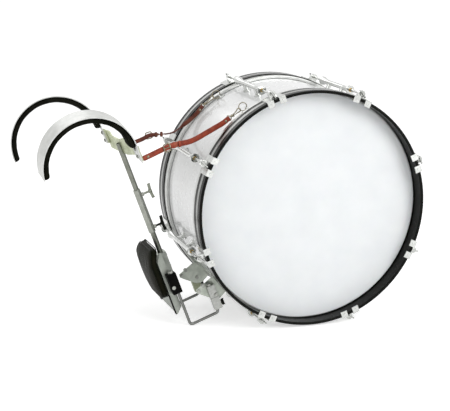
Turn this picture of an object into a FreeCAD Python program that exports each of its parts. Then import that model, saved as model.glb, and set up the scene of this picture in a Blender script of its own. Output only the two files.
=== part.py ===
import FreeCAD, Part
import math
import os
from FreeCAD import Placement, Rotation, Vector

# Marching bass drum with its over-the-shoulder carrier. Millimetres.
# The drum's axis lies along Y with the near head towards -Y.
# The wearer stands on the -X side. Up is +Z.

# Shell and heads
shell_radius = 305.0
shell_wall = 7.0
shell_length = 305.0
bearing_chamfer = 4.0
film = 0.5
film_skirt = 14.0
film_gap = 0.3
film_corner = 2.0
vent_radius = 6.5
vent_bore = 4.5
vent_flange = 4.0
vent_lip = 1.5

# Hoops
hoop_gap = 2.2
hoop_wall = 8.0
hoop_width = 50.0
hoop_fillet = 2.0
head_recess = 43.0
inlay_width = 13.0
inlay_depth = 1.0
flesh_hoop_depth = 18.0
flesh_hoop_wall = 7.5
flesh_hoop_fillet = 2.0

# Tension rods, claws and lugs
lug_count = 8
first_lug_angle = 20.2
rod_offset = 12.0
rod_radius = 3.0
rod_tip = 80.0
running_fit = 0.05
clearance = 0.2
collar_radius = 6.0
collar_height = 6.0
key_bar_radius = 2.5
key_bar_length = 22.0
key_bar_turn = 37.0
claw_reach = 47.0
claw_plate = 3.0
claw_foot_width = 18.0
claw_foot_spread = 17.0
claw_foot_lip = 15.0
claw_slot_depth = 15.0
claw_dot_radius = 2.5
claw_dot_height = 1.0
claw_boss_radius = 9.5
claw_boss_length = 13.0
claw_boss_setback = 18.0
lug_half_length = 99.0
lug_mouth_radius = 11.5
lug_mouth_length = 7.0
lug_waist_radius = 6.8
lug_bell_length = 45.0
lug_bore_radius = 5.5
lug_bore_depth = 45.0
lug_post_offset = 45.0
lug_post_radius = 6.5
lug_foot_radius = 11.0
lug_foot_height = 3.0
nut_length = 14.0
nut_setback = 2.0
screw_radius = 2.0
lug_screw_length = 20.0
screw_head_radius = 4.5
screw_head_height = 2.5

# Belly unit: it leans back, so it is drawn upright and then leaned.
# Upright, u points at the drum, w runs up the pole and both start at the drum's centre.
lean = 20.0
pole_offset = 75.0
web_setback = 28.0
web_thickness = 3.0
web_half_width = 80.0
web_top = 0.0
web_bottom = -153.0
flange_depth = 16.0
flange_thickness = 3.0
flange_apex = 24.5
edge_guard_width = 12.0
edge_guard_thickness = 2.5
pad_thickness = 22.0
pad_half_width = 77.0
pad_top = 34.0
pad_bottom = -108.0
pad_corner = 20.0
pad_knee_forward = 12.0
pad_crest_forward = 17.0
pad_draw_in = 7.0
socket_width = 30.0
socket_bottom = -70.0
socket_top = 0.0
socket_front = 12.0
socket_screw_inset = 12.0
socket_floor = 6.0

# J-rods and the black blocks that hold them
j_rod_radius = 4.0
j_rod_bend = 8.0
j_rod_rear_offset = 84.0
j_rod_front_offset = 0.0
j_rod_rear_top = -27.0
near_j_rod_top = -104.0
far_j_rod_top = -124.0
block_depth = 26.0
block_rear = 15.0
block_top = -35.0
block_bottom = -93.0
block_width = 23.0
j_rod_y = web_half_width + block_width / 2
block_chamfer = 1.5
block_screw_w = -72.0
block_screw_margin = 2.0
hex_nut_radius = 7.5
hex_nut_height = 6.0

# Mount plates on the shell and the rod clamps on them
mount_plate_thickness = 3.0
mount_plate_angle = -157.0
mount_plate_corners = [
    (-70, 7), (-28, 20), (-5, 27), (15, -26), (-16, -41), (-34, -37), (-60, -13), (-71, -2)]
plate_bolt_offsets = [(-49, 11), (-64, 1)]
mount_flange_width = 24.0
mount_flange_start = -164.0
mount_flange_end = -150.0
flange_bolt_inset = 3.0
clamp_rear = 8.0
clamp_front = 14.0
clamp_bottom = -182.0
near_clamp_top = -112.0
far_clamp_top = -131.0
clamp_width = 16.0
mount_plate_y = j_rod_y - clamp_width / 2 - mount_plate_thickness
clamp_rib = 1.5
clamp_screw_w = -170.0
clamp_bolt_w = -141.0
bolt_radius = 2.5
bolt_head_radius = 5.0
bolt_head_height = 3.5
clamp_wing_length = 9.0

# Wing screws
wing_thickness = 3.0
wing_stem_radius = 3.0
wing_hub_radius = 5.0
wing_hub_length = 9.0
wing_gap = 0.3

# Pole
tube_radius = 7.0
tube_wall = 1.5
sleeve_wall = 2.4
lower_tube_top = 90.0
sleeve_bottom = 62.0
sleeve_top = 187.0
upper_tube_bottom = 140.0
upper_bolt_w = 169.0
lower_bolt_w = 73.0
bolt_boss_radius = 5.5
bolt_boss_height = 5.0
pole_stem_length = 22.0
pole_wing_length = 21.0

# Shoulder yoke
yoke_swivel = 7.0
arch_radius = 125.5
arch_band = 2.5
arch_width = 64.0
arch_pad_thickness = 17.0
arch_pad_width = 60.0
arch_pad_crown = 3.0
near_arch_center = (-126.5, -123.5, 346.5)
near_arch_turn = 8.0
near_arch_cant = 9.0
near_arch_rear_angle = 176.0
far_arch_center = (-113.2, 157.5, 354.0)
far_arch_turn = 12.4
far_arch_cant = 12.0
far_arch_rear_angle = 183.0
arch_tail = 50.0
arch_pad_tail = 4.0
cross_plate_thickness = 4.0
cross_plate_setback = 2.0
cross_plate_bottom = 294.0
cross_plate_outline = [
    (-100, 303), (-36, 294), (24, 295), (84, 299), (84, 350), (54, 350), (48, 337), (-2, 334),
    (-58, 345), (-100, 340)]
tab_outer_reach = 22.0
tab_inner_reach = 50.0
tab_height = 40.0
tab_bolt_inset = 9.0
tube_in_plate = 30.0

# Safety straps between the yoke and the drum
strap_width = 12.0
strap_thickness = 3.5
eye_angle = 121.5
strap_eye_inset = 37.5
eye_y = shell_length / 2 - strap_eye_inset
eye_base_length = 26.0
eye_base_width = 14.0
eye_base_thickness = 2.0
eye_loop_radius = 8.0
eye_wire_radius = 1.75
ring_radius = 11.0
ring_wire_radius = 1.25
ring_lean = 50.0
hook_radius = 3.0
hook_gap = 0.8
near_strap_route = [
    (-447, -131, 150), (-412, -130, 164), (-376, -129, 179), (-353, -128, 183),
    (-315, -125, 187), (-278, -122, 205), (-253, -120, 217), (-226, -118, 230),
    (-208, -116, 243)]
far_strap_route = [
    (-475.9, 131.6, 158.6), (-468.4, 130.8, 161.3), (-455, 127, 150), (-438, 123, 137),
    (-410, 120, 146), (-378, 119, 157), (-365, 118, 165), (-347, 118, 166), (-299, 118, 167),
    (-278, 117, 180), (-252, 116, 199), (-230, 115, 217), (-210, 115, 241)]

# Worked out from the sizes above
axis_x = Vector(1, 0, 0)
axis_y = Vector(0, 1, 0)
axis_z = Vector(0, 0, 1)
head_y = shell_length / 2 + film
hoop_edge = head_y + head_recess
hoop_inner_edge = hoop_edge - hoop_width
inlay_edge = (hoop_edge + hoop_inner_edge + inlay_width) / 2
film_radius = shell_radius + film_gap + film
flesh_radius = film_radius + film_gap
hoop_bore = film_radius + hoop_gap
hoop_radius = hoop_bore + hoop_wall
rod_circle = hoop_radius + rod_offset
lug_angles = [first_lug_angle + i * 360.0 / lug_count for i in range(lug_count)]
boss_outer_y = hoop_edge - claw_boss_setback
shell_bore = shell_radius - shell_wall
pole_u = -hoop_radius - pole_offset
web_u = pole_u - web_setback
pad_u = web_u - web_thickness
j_rear_u = -hoop_radius - j_rod_rear_offset
j_front_u = -hoop_radius - j_rod_front_offset
sin_lean = math.sin(math.radians(lean))
cos_lean = math.cos(math.radians(lean))
floor_z = rod_circle * min(math.sin(math.radians(a)) for a in lug_angles) - lug_mouth_radius
bend_center_z = floor_z + j_rod_bend + j_rod_radius
j_bottom_w = (bend_center_z - (j_rear_u + j_rod_bend) * sin_lean) / cos_lean - j_rod_bend
sleeve_bore = tube_radius + running_fit
sleeve_radius = sleeve_bore + sleeve_wall
plate_inner_y = mount_plate_y
plate_outer_y = mount_plate_y + mount_plate_thickness
clamp_outer_y = plate_outer_y + clamp_width
lean_frame = Placement(Vector(), Rotation(axis_y, -lean))
yoke_turn = Placement(Vector(), Rotation(axis_z, yoke_swivel), Vector(pole_u, 0, 0))
yoke_frame = lean_frame.multiply(yoke_turn)


def box(x0, x1, y0, y1, z0, z1):
    return Part.makeBox(x1 - x0, y1 - y0, z1 - z0, Vector(x0, y0, z0))


def bar(start, end, radius):
    run = end - start
    return Part.makeCylinder(radius, run.Length, start, run)


def drum_disc(radius, y0, y1):
    return Part.makeCylinder(radius, y1 - y0, Vector(0, y0, 0), axis_y)


def drum_ring(outer, inner, y0, y1):
    return drum_disc(outer, y0, y1).cut(drum_disc(inner, y0 - 1, y1 + 1))


def plate(outline, direction, thickness):
    wire = Part.makePolygon(outline + outline[:1])
    return Part.Face(wire).extrude(direction * thickness)


def side_plate(outline, y0, y1):
    # A plate square to Y from its (u, w) outline.
    return plate([Vector(u, y0, w) for u, w in outline], axis_y, y1 - y0)


def turned_about_y(steps, x, z):
    # Steps are (radius, y), or (radius, y, bulge radius, bulge y) for an arc to that point.
    edges = []
    last = None
    for step in steps + steps[:1]:
        point = Vector(x + step[0], step[1], z)
        if last is not None and len(step) == 4:
            bulge = Vector(x + step[2], step[3], z)
            edges.append(Part.Arc(last, bulge, point).toShape())
        elif last is not None:
            edges.append(Part.LineSegment(last, point).toShape())
        last = point
    return Part.Face(Part.Wire(edges)).revolve(Vector(x, 0, z), axis_y, 360)


def far_side(shape):
    return shape.mirror(Vector(), axis_y)


def both_sides(shape):
    return Part.makeCompound([shape, far_side(shape)])


def around(shape, angle):
    # Carries a shape from the +X side round the drum, counted upwards.
    moved = shape.copy()
    moved.rotate(Vector(), axis_y, -angle)
    return moved


def at_each_lug(shape):
    return Part.makeCompound([around(shape, angle) for angle in lug_angles])


def placed(shape, frame):
    moved = shape.copy()
    moved.Placement = frame.multiply(moved.Placement)
    return moved


def bent_rod(corners, bend, radius):
    # A round rod of straight runs joined by tangent arcs of one bend radius.
    edges = []
    start = corners[0]
    for before, corner, after in zip(corners, corners[1:], corners[2:]):
        into = (corner - before).normalize()
        out = (after - corner).normalize()
        turn = into.getAngle(out)
        setback = bend * math.tan(turn / 2)
        inward = (out - into).normalize()
        arc_start = corner - into * setback
        arc_middle = corner + inward * (bend / math.cos(turn / 2) - bend)
        arc_end = corner + out * setback
        edges.append(Part.LineSegment(start, arc_start).toShape())
        edges.append(Part.Arc(arc_start, arc_middle, arc_end).toShape())
        start = arc_end
    edges.append(Part.LineSegment(start, corners[-1]).toShape())
    section = Part.Wire(Part.makeCircle(radius, corners[0], corners[1] - corners[0]))
    return Part.Wire(edges).makePipeShell([section], True, False)


def ribbon(route):
    # A flat strap that stands on edge along its route.
    sections = []
    for i, point in enumerate(route):
        run = route[min(i + 1, len(route) - 1)] - route[max(i - 1, 0)]
        run.y = 0
        run.normalize()
        half_w = Vector(-run.z, 0, run.x) * (strap_width / 2)
        half_t = axis_y * (strap_thickness / 2)
        corners = [point - half_w - half_t, point + half_w - half_t,
                   point + half_w + half_t, point - half_w + half_t]
        sections.append(Part.makePolygon(corners + corners[:1]))
    return Part.makeLoft(sections, True, True)


def wing_screw(tip, seat_distance, spread):
    # The stem runs from tip along +X; the wings stand along Z past the seat.
    hub = seat_distance
    hub_end = hub + wing_hub_length
    stem = bar(tip, tip + axis_x * (hub + 1), wing_stem_radius - running_fit)
    shape = stem.fuse(bar(tip + axis_x * hub, tip + axis_x * hub_end, wing_hub_radius))
    half = [(hub + 1, wing_hub_radius * 0.6), (hub + 3, spread), (hub_end + 2, spread),
            (hub_end, wing_hub_radius * 0.8)]
    outline = half + [(x, -z) for x, z in reversed(half)]
    points = [tip + Vector(x, -wing_thickness / 2, z) for x, z in outline]
    return shape.fuse(plate(points, axis_y, wing_thickness)).removeSplitter()


def hex_nut(center, direction):
    # A nut whose seat is at center; its rod's hole is cut where it is used.
    side = direction.cross(axis_y)
    if side.Length < 0.5:
        side = direction.cross(axis_z)
    side.normalize()
    points = []
    for i in range(6):
        turn = Rotation(direction, i * 60.0)
        points.append(center + turn.multVec(side * hex_nut_radius))
    return plate(points, direction, hex_nut_height)


# Drum
def make_shell():
    half = shell_length / 2
    profile = [
        (shell_bore, -half + bearing_chamfer), (shell_bore + bearing_chamfer, -half),
        (shell_radius - film_corner, -half), (shell_radius, -half + film_corner),
        (shell_radius, half - film_corner), (shell_radius - film_corner, half),
        (shell_bore + bearing_chamfer, half), (shell_bore, half - bearing_chamfer)]
    shape = turned_about_y(profile, 0, 0)
    holes = [bar(Vector(shell_bore - 10, 0, 0), Vector(shell_radius + 10, 0, 0), vent_radius)]
    for angle in lug_angles:
        for y in (-lug_post_offset, lug_post_offset):
            hole = bar(Vector(shell_bore - 10, y, 0), Vector(shell_radius + 10, y, 0),
                       screw_radius + clearance)
            holes.append(around(hole, angle))
    for angle, y in shell_bolt_places():
        hole = bar(Vector(shell_bore - 10, y, 0), Vector(shell_radius + 10, y, 0),
                   screw_radius + clearance)
        holes.append(around(hole, angle))
    return shape.cut(holes)


def shell_bolt_places():
    # The bolts through the shell, as (angle, y): mount flanges first, then strap eyes.
    places = []
    flange_y = plate_inner_y - mount_flange_width / 2
    eye_offset = math.degrees((eye_base_length / 2 - screw_head_radius) / shell_radius)
    for side in (-1, 1):
        for angle in (mount_flange_start + flange_bolt_inset, mount_flange_end - flange_bolt_inset):
            places.append((angle + lean, side * flange_y))
    for side in (-1, 1):
        for angle in (eye_angle - eye_offset, eye_angle + eye_offset):
            places.append((angle, side * eye_y))
    return places


def make_near_head():
    outer = film_radius
    inner = outer - film
    bend = film_corner
    face = -head_y
    slant = math.sqrt(0.5)
    profile = [
        (0, face), (outer - bend, face),
        (outer, face + bend, outer - bend * (1 - slant), face + bend * (1 - slant)),
        (outer, face + film_skirt), (inner, face + film_skirt), (inner, face + bend),
        (outer - bend, face + film, outer - bend + (bend - film) * slant,
         face + bend - (bend - film) * slant),
        (0, face + film)]
    return turned_about_y(profile, 0, 0)


def make_flesh_hoops():
    outer = flesh_radius + flesh_hoop_wall
    start = -hoop_inner_edge
    end = start + flesh_hoop_depth
    bend = flesh_hoop_fillet
    slant = bend * (1 - math.sqrt(0.5))
    profile = [
        (flesh_radius, start), (outer - bend, start),
        (outer, start + bend, outer - slant, start + slant), (outer, end - bend),
        (outer - bend, end, outer - slant, end - slant), (flesh_radius, end)]
    return both_sides(turned_about_y(profile, 0, 0))


def make_near_hoop():
    shape = drum_ring(hoop_radius, hoop_bore, -hoop_edge, -hoop_inner_edge)
    rims = [edge for edge in shape.Edges if isinstance(edge.Curve, Part.Circle)]
    shape = shape.makeFillet(hoop_fillet, rims)
    channel = drum_ring(hoop_radius + 1, hoop_radius - inlay_depth, -inlay_edge,
                        -inlay_edge + inlay_width)
    return shape.cut(channel)


def make_hoop_inlays():
    return both_sides(drum_ring(hoop_radius, hoop_radius - inlay_depth, -inlay_edge,
                                -inlay_edge + inlay_width))


def make_near_claws():
    outer = hoop_radius + claw_plate
    front = -hoop_edge - claw_plate
    half = claw_foot_spread + claw_foot_width / 2
    inner_half = claw_foot_spread - claw_foot_width / 2
    saddle = drum_ring(outer, hoop_radius, front, -hoop_edge + claw_reach)
    lip = drum_ring(outer, hoop_radius - claw_foot_lip, front, -hoop_edge)
    shape = saddle.fuse(lip).common(box(0, outer, front, 0, -half, half))
    slot = box(0, outer + 1, front - 1, -hoop_edge + claw_slot_depth, -inner_half, inner_half)
    shape = shape.cut(slot)
    additions = []
    for side in (-1, 1):
        dot = Vector(hoop_radius - claw_foot_lip / 2, front - claw_dot_height,
                     side * claw_foot_spread)
        additions.append(bar(dot, dot + axis_y * (claw_dot_height + 1), claw_dot_radius))
    start = -boss_outer_y
    end = start + claw_boss_length
    additions.append(bar(Vector(rod_circle, start, 0), Vector(rod_circle, end, 0), claw_boss_radius))
    additions.append(box(hoop_radius, rod_circle, start, end, -claw_boss_radius, claw_boss_radius))
    shape = shape.fuse(additions)
    shape = shape.cut(drum_disc(hoop_radius, -hoop_edge, 0))
    hole = bar(Vector(rod_circle, front - 5, 0), Vector(rod_circle, 0, 0), rod_radius + clearance)
    return at_each_lug(shape.cut(hole).removeSplitter())


def make_near_tension_rod(index):
    seat = -boss_outer_y
    collar_end = seat - collar_height
    bar_y = collar_end - key_bar_radius - 0.5
    shape = bar(Vector(rod_circle, bar_y, 0), Vector(rod_circle, -rod_tip, 0), rod_radius)
    collar = bar(Vector(rod_circle, collar_end, 0), Vector(rod_circle, seat - clearance, 0),
                 collar_radius)
    turn = Rotation(axis_y, key_bar_turn * index)
    half_bar = turn.multVec(axis_z * (key_bar_length / 2))
    middle = Vector(rod_circle, bar_y, 0)
    key_bar = bar(middle - half_bar, middle + half_bar, key_bar_radius)
    shape = shape.fuse([collar, key_bar]).removeSplitter()
    return around(shape, lug_angles[index])


def make_lug_casings():
    end = lug_half_length
    neck = end - lug_mouth_length - lug_bell_length
    bell = end - lug_mouth_length
    flank_radius = lug_waist_radius + (lug_mouth_radius - lug_waist_radius) * 0.28
    flank_y = (bell + neck) / 2 + lug_mouth_length / 2
    bore_end = end - lug_bore_depth
    profile = [
        (0, -bore_end), (lug_bore_radius, -bore_end), (lug_bore_radius, -end),
        (lug_mouth_radius, -end), (lug_mouth_radius, -bell),
        (lug_waist_radius, -neck, flank_radius, -flank_y), (lug_waist_radius, neck),
        (lug_mouth_radius, bell, flank_radius, flank_y), (lug_mouth_radius, end),
        (lug_bore_radius, end), (lug_bore_radius, bore_end), (0, bore_end)]
    shape = turned_about_y(profile, rod_circle, 0)
    for y in (-lug_post_offset, lug_post_offset):
        root = Vector(shell_radius - 2, y, 0)
        post = bar(root, Vector(rod_circle, y, 0), lug_post_radius)
        foot = bar(root, Vector(shell_radius + lug_foot_height, y, 0), lug_foot_radius)
        shape = shape.fuse([post, foot])
    shape = shape.cut(drum_disc(shell_radius, -shell_length / 2, shell_length / 2))
    for y in (-lug_post_offset, lug_post_offset):
        hole = bar(Vector(shell_bore, y, 0), Vector(lug_screw_seat() + lug_screw_length, y, 0),
                   screw_radius)
        shape = shape.cut(hole)
    return at_each_lug(shape.removeSplitter())


def lug_screw_seat():
    # A flat screw head meets the hollow shell wall at its two sides.
    return math.sqrt(shell_bore ** 2 - screw_head_radius ** 2)


def shell_screw(y, length):
    seat = lug_screw_seat()
    head = bar(Vector(seat - screw_head_height, y, 0), Vector(seat, y, 0), screw_head_radius)
    return head.fuse(bar(Vector(seat, y, 0), Vector(seat + length, y, 0), screw_radius))


def make_lug_screws():
    pair = [shell_screw(y, lug_screw_length) for y in (-lug_post_offset, lug_post_offset)]
    return at_each_lug(Part.makeCompound(pair))


def make_swivel_nuts():
    near_end = Vector(rod_circle, -lug_half_length + nut_setback, 0)
    outer = bar(near_end, near_end + axis_y * nut_length, lug_bore_radius - clearance)
    nut = outer.cut(bar(near_end - axis_y, near_end + axis_y * (nut_length + 1),
                        rod_radius + running_fit))
    return at_each_lug(both_sides(nut))


def make_vent_grommet():
    flange_radius = vent_radius + vent_flange
    outer = bar(Vector(shell_radius - 2, 0, 0), Vector(shell_radius + vent_lip, 0, 0), flange_radius)
    outer = outer.cut(drum_disc(shell_radius, -shell_length / 2, shell_length / 2))
    inner = bar(Vector(shell_bore - vent_lip, 0, 0), Vector(shell_bore + 2, 0, 0), flange_radius)
    inner = inner.common(drum_disc(shell_bore, -shell_length / 2, shell_length / 2))
    neck = bar(Vector(shell_bore - vent_lip, 0, 0), Vector(shell_radius + vent_lip, 0, 0), vent_radius)
    shape = neck.fuse([outer, inner])
    hole = bar(Vector(shell_bore - 10, 0, 0), Vector(shell_radius + 10, 0, 0), vent_bore)
    return shape.cut(hole).removeSplitter()


# Mount plates and rod clamps
def mount_anchor():
    angle = math.radians(mount_plate_angle)
    return shell_radius * math.cos(angle), shell_radius * math.sin(angle)


def mount_plate_outline():
    # Corners from the middle of the foot on the shell; two lie inside the shell and are cut.
    u, w = mount_anchor()
    return [(u + du, w + dw) for du, dw in mount_plate_corners]


def plate_bolt_places():
    u, w = mount_anchor()
    return [(u + du, w + dw) for du, dw in plate_bolt_offsets]


def make_near_mount_plate():
    shape = side_plate(mount_plate_outline(), -plate_outer_y, -plate_inner_y)
    outer = shell_radius + mount_plate_thickness
    foot = drum_ring(outer, shell_radius - 1, -plate_outer_y, -plate_inner_y + mount_flange_width)
    corners = [Vector(0, -plate_outer_y, 0)]
    for angle in (mount_flange_start, mount_flange_end):
        turn = math.radians(angle)
        corners.append(Vector(outer * 1.2 * math.cos(turn), -plate_outer_y, outer * 1.2 * math.sin(turn)))
    wedge = plate(corners, axis_y, mount_plate_thickness + mount_flange_width)
    shape = shape.fuse(foot.common(wedge))
    shape = shape.cut(drum_disc(shell_radius, -shell_length / 2, shell_length / 2))
    for angle, y in shell_bolt_places():
        hole = bar(Vector(shell_radius - 10, y, 0), Vector(shell_radius + 10, y, 0),
                   screw_radius + clearance)
        shape = shape.cut(around(hole, angle - lean))
    for u, w in plate_bolt_places() + [(clamp_bolt_u(), clamp_bolt_w)]:
        shape = shape.cut(bar(Vector(u, -plate_outer_y - 1, w), Vector(u, -plate_inner_y + 1, w),
                              bolt_radius))
    return placed(shape.removeSplitter(), lean_frame)


def clamp_bolt_u():
    return j_front_u + clamp_front - bolt_head_radius


def through_bolt(head_seat, nut_seat, radius):
    # A bolt from its head's seat to its nut's seat, with the nut as a second solid.
    direction = (nut_seat - head_seat).normalize()
    tip = nut_seat + direction * (bolt_head_height + 1)
    bolt = bar(head_seat - direction * bolt_head_height, head_seat, radius * 2)
    bolt = bolt.fuse(bar(head_seat, tip, radius))
    nut = bar(nut_seat, nut_seat + direction * bolt_head_height, radius * 1.9)
    return [bolt, nut.cut(bar(head_seat, tip, radius))]


def make_mount_bolts():
    solids = []
    for u, w in plate_bolt_places():
        solids += through_bolt(Vector(u, -plate_outer_y, w), Vector(u, -plate_inner_y, w), bolt_radius)
    w = clamp_bolt_w
    u = clamp_bolt_u()
    solids += through_bolt(Vector(u, -clamp_outer_y, w), Vector(u, -plate_inner_y, w), bolt_radius)
    foot_top = shell_radius + mount_plate_thickness
    for angle, y in shell_bolt_places()[:2]:
        screw = shell_screw(y, foot_top + bolt_head_height + 1 - lug_screw_seat())
        nut = bar(Vector(foot_top, y, 0), Vector(foot_top + bolt_head_height, y, 0), screw_head_radius)
        nut = nut.cut(screw)
        solids += [around(screw, angle - lean), around(nut, angle - lean)]
    return placed(both_sides(Part.makeCompound(solids)), lean_frame)


def make_rod_clamp(top, ribs):
    # Near side, leaned later. Ribs are the steps that stand out round the block.
    rear = j_front_u - clamp_rear
    front = j_front_u + clamp_front
    shape = box(rear, front, -clamp_outer_y, -plate_outer_y, clamp_bottom, top)
    pitch = (top - clamp_bottom) / ribs
    grooves = []
    for i in range(1, ribs):
        w = clamp_bottom + pitch * i
        outer = box(rear - 1, front + 1, -clamp_outer_y - 1, -plate_outer_y - clearance,
                    w - clamp_rib / 2, w + clamp_rib / 2)
        core = box(rear + clamp_rib, front - clamp_rib, -clamp_outer_y + clamp_rib, 0,
                   clamp_bottom, top)
        grooves.append(outer.cut(core))
    shape = shape.cut(grooves)
    rod_hole = bar(Vector(j_front_u, -j_rod_y, clamp_bottom - 1), Vector(j_front_u, -j_rod_y, top + 1),
                   j_rod_radius)
    bolt_hole = bar(Vector(clamp_bolt_u(), -clamp_outer_y - 1, clamp_bolt_w),
                    Vector(clamp_bolt_u(), 0, clamp_bolt_w), bolt_radius)
    screw_hole = bar(Vector(j_front_u, -j_rod_y, clamp_screw_w),
                     Vector(front + 1, -j_rod_y, clamp_screw_w), wing_stem_radius)
    return shape.cut([rod_hole, bolt_hole, screw_hole])


def make_clamp_wing():
    tip = Vector(j_front_u + j_rod_radius + wing_gap, -j_rod_y, clamp_screw_w)
    seat = clamp_front - j_rod_radius
    return wing_screw(tip, seat, clamp_wing_length)


# J-rods and their blocks
def make_j_rod(front_top):
    corners = [
        Vector(j_rear_u, -j_rod_y, j_rod_rear_top), Vector(j_rear_u, -j_rod_y, j_bottom_w),
        Vector(j_front_u, -j_rod_y, j_bottom_w), Vector(j_front_u, -j_rod_y, front_top)]
    return bent_rod(corners, j_rod_bend, j_rod_radius)


def make_j_rod_nuts():
    nuts = []
    seats = [(j_rear_u, block_top, -1), (j_rear_u, block_top, 1),
             (j_front_u, near_clamp_top, -1), (j_front_u, far_clamp_top, 1)]
    for u, w, side in seats:
        center = Vector(u, side * j_rod_y, w)
        nut = hex_nut(center, axis_z)
        nuts.append(nut.cut(bar(center - axis_z, center + axis_z * hex_nut_height * 2, j_rod_radius)))
    return Part.makeCompound(nuts)


def block_screw_u():
    return j_rear_u - j_rod_radius - bolt_radius - block_screw_margin


def make_rod_blocks():
    rear = j_rear_u - block_rear
    shape = box(rear, rear + block_depth, -web_half_width - block_width, -web_half_width,
                block_bottom, block_top)
    shape = shape.makeChamfer(block_chamfer, shape.Edges)
    shape = shape.cut(bar(Vector(j_rear_u, -j_rod_y, block_bottom - 1),
                          Vector(j_rear_u, -j_rod_y, block_top + 1), j_rod_radius))
    shape = shape.cut(bar(Vector(block_screw_u(), -web_half_width - block_width - 1, block_screw_w),
                          Vector(block_screw_u(), 0, block_screw_w), bolt_radius))
    return both_sides(shape)


def make_block_screws():
    head = Vector(block_screw_u(), -web_half_width - block_width, block_screw_w)
    nut = Vector(block_screw_u(), -web_half_width + flange_thickness, block_screw_w)
    return both_sides(Part.makeCompound(through_bolt(head, nut, bolt_radius)))


# Belly bracket, pad and pole
def make_belly_bracket():
    web = box(pad_u, web_u, -web_half_width, web_half_width, web_bottom, web_top)
    front = web_u + flange_depth
    outline = [
        (pad_u, web_bottom), (web_u, web_bottom), (front, web_bottom + flange_depth),
        (front, flange_apex), (front - flange_depth / 3, flange_apex), (pad_u, web_top)]
    flange = side_plate(outline, -web_half_width, -web_half_width + flange_thickness)
    shape = web.fuse([flange, far_side(flange)])
    for side in (-1, 1):
        hole = bar(Vector(block_screw_u(), side * (web_half_width + 1), block_screw_w),
                   Vector(block_screw_u(), 0, block_screw_w), bolt_radius)
        shape = shape.cut(hole)
    return shape.removeSplitter()


def make_edge_guards():
    top = pad_bottom + pad_corner - (pad_half_width - web_half_width) - edge_guard_width - clearance
    guard = box(pad_u - edge_guard_thickness, pad_u, -web_half_width,
                -web_half_width + edge_guard_width, web_bottom, min(top, web_top))
    return both_sides(guard)


def make_belly_pad():
    # The pad lies on the web and bends forward above it, between the pole and the wearer.
    knee = pad_u + pad_knee_forward
    crest = pad_u + pad_crest_forward
    back = [(pad_u, pad_bottom), (pad_u, web_top), (knee, flange_apex), (crest, pad_top)]
    front = [(u - pad_thickness, w) for u, w in reversed(back)]
    slab = side_plate(back + front, -pad_half_width, pad_half_width)
    half = pad_half_width
    corner = pad_corner
    outline = [
        (-half + corner, pad_top), (half - corner, pad_top), (half, pad_top - corner),
        (half, pad_bottom + corner), (half - corner, pad_bottom), (-half + corner, pad_bottom),
        (-half, pad_bottom + corner), (-half, pad_top - corner)]
    start = pad_u - pad_thickness * 2
    points = [Vector(start, y, w) for y, w in outline]
    shape = slab.common(plate(points, axis_x, pad_thickness * 4))
    front_edges = [edge for edge in shape.Edges if faces_wearer(edge)]
    return shape.makeFillet(pad_draw_in, front_edges)


def faces_wearer(edge):
    # True on the rim of the pad's wearer side.
    start, end = edge.Vertexes[0].Point, edge.Vertexes[-1].Point
    rim = []
    for point in (start, end):
        shift = 0
        if point.z > web_top:
            low, high, base, rise = web_top, flange_apex, 0, pad_knee_forward
            if point.z > flange_apex:
                low, high, base = flange_apex, pad_top, pad_knee_forward
                rise = pad_crest_forward - pad_knee_forward
            shift = base + rise * (point.z - low) / (high - low)
        rim.append(abs(point.x - (pad_u - pad_thickness + shift)) < 0.01)
    level = abs(start.z - end.z) < 0.01
    inside = level and pad_bottom + 0.01 < start.z < pad_top - 0.01
    return all(rim) and not inside


def make_pole_socket():
    shape = box(web_u, pole_u + socket_front, -socket_width / 2, socket_width / 2,
                socket_bottom, socket_top)
    hole = bar(Vector(pole_u, 0, socket_bottom + socket_floor), Vector(pole_u, 0, socket_top + 1),
               tube_radius)
    shape = shape.cut(hole)
    for w in socket_screw_heights():
        shape = shape.cut(bar(Vector(pole_u, 0, w), Vector(pole_u + socket_front + 1, 0, w),
                              screw_radius))
    return shape


def socket_screw_heights():
    return [socket_bottom + socket_screw_inset * 2, socket_top - socket_screw_inset]


def make_socket_screws():
    screws = []
    for w in socket_screw_heights():
        face = Vector(pole_u + socket_front, 0, w)
        head = bar(face, face + axis_x * screw_head_height, screw_head_radius)
        screws.append(head.fuse(bar(Vector(pole_u + tube_radius, 0, w), face, screw_radius)))
    return Part.makeCompound(screws)


def tube(bottom, top):
    outer = bar(Vector(pole_u, 0, bottom), Vector(pole_u, 0, top), tube_radius)
    return outer.cut(bar(Vector(pole_u, 0, bottom - 1), Vector(pole_u, 0, top + 1),
                         tube_radius - tube_wall))


def make_sleeve():
    shape = bar(Vector(pole_u, 0, sleeve_bottom), Vector(pole_u, 0, sleeve_top), sleeve_radius)
    for w in (lower_bolt_w, upper_bolt_w):
        boss = bar(Vector(pole_u, 0, w), Vector(pole_u + sleeve_radius + bolt_boss_height, 0, w),
                   bolt_boss_radius)
        shape = shape.fuse(boss)
    shape = shape.cut(bar(Vector(pole_u, 0, sleeve_bottom - 1), Vector(pole_u, 0, sleeve_top + 1),
                          sleeve_bore))
    for w in (lower_bolt_w, upper_bolt_w):
        shape = shape.cut(bar(Vector(pole_u, 0, w), Vector(pole_u + sleeve_radius * 3, 0, w),
                              wing_stem_radius))
    return shape.removeSplitter()


def make_pole_wing(w):
    tip = Vector(pole_u + tube_radius + running_fit * 2, 0, w)
    return wing_screw(tip, pole_stem_length, pole_wing_length)


# Shoulder yoke, drawn square to the pole and then swivelled round it
def arch_placement(side):
    # side is -1 for the near arch and 1 for the far one
    if side < 0:
        center, turn, cant = near_arch_center, near_arch_turn, near_arch_cant
    else:
        center, turn, cant = far_arch_center, far_arch_turn, far_arch_cant
    turned = Rotation(axis_z, -turn).multiply(Rotation(axis_x, -side * cant))
    return Placement(Vector(*center) + axis_x * pole_u, turned)


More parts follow.
